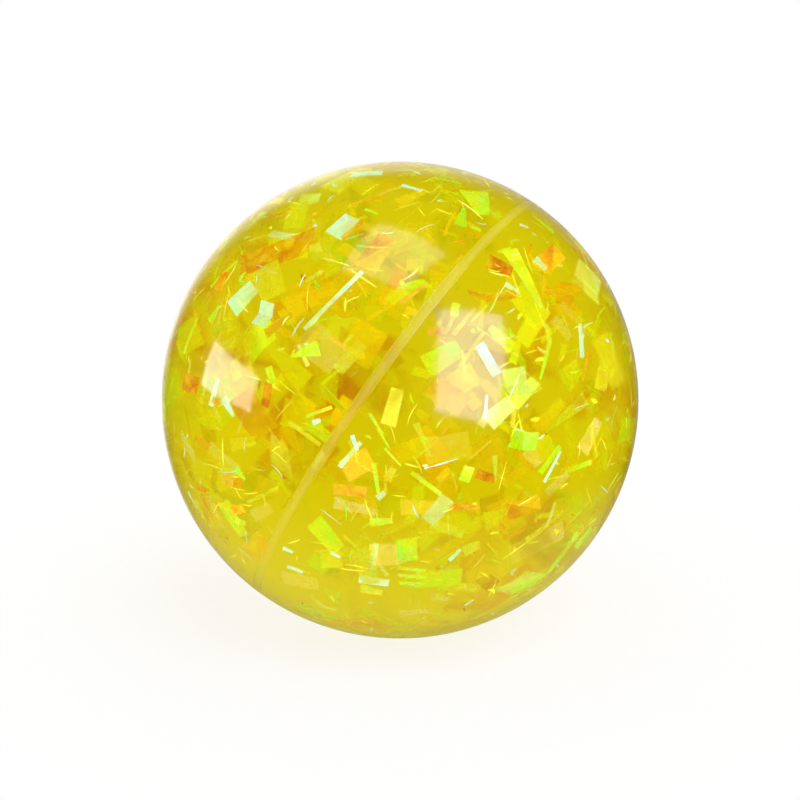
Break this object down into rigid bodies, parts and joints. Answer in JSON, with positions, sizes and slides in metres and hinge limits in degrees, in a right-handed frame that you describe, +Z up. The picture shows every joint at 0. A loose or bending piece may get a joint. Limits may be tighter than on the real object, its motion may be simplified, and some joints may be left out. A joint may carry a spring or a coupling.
{
  "type": "bouncy ball",
  "caption": "Clear yellow rubber bouncy ball of two moulded halves joined on a seam bead, with iridescent film flakes and strips cast inside.",
  "frame": {"origin": "centre of the ball", "axes": "+Z up as the ball lies, +X to the right in the front view, which looks along +Y; the seam's axis leans 58.5 degrees from +Z, towards 161.6 degrees from +X"},
  "size_m": [0.06, 0.06, 0.06],
  "materials": {
    "clear_rubber": "clear, polished",
    "seam_rubber": "milky, finely ground",
    "film_amber": "iridescent film, orange to brown",
    "film_gold": "iridescent film, bright yellow",
    "film_lime": "iridescent film, lime to green",
    "film_ice": "iridescent film, mint to white",
    "film_pearl": "iridescent film, cream to pink"
  },
  "bodies": {
    "root": {"half_a": "clear_rubber", "half_b": "clear_rubber", "seam_bead": "seam_rubber", "amber_flakes_a": "film_amber", "gold_flakes_a": "film_gold", "lime_flakes_a": "film_lime", "ice_flakes_a": "film_ice", "pearl_flakes_a": "film_pearl", "amber_strips_a": "film_amber", "gold_strips_a": "film_gold", "lime_strips_a": "film_lime", "ice_strips_a": "film_ice", "amber_flakes_b": "film_amber", "gold_flakes_b": "film_gold", "lime_flakes_b": "film_lime", "ice_flakes_b": "film_ice", "pearl_flakes_b": "film_pearl", "amber_strips_b": "film_amber", "gold_strips_b": "film_gold", "lime_strips_b": "film_lime", "ice_strips_b": "film_ice"}
  },
  "joints": []
}
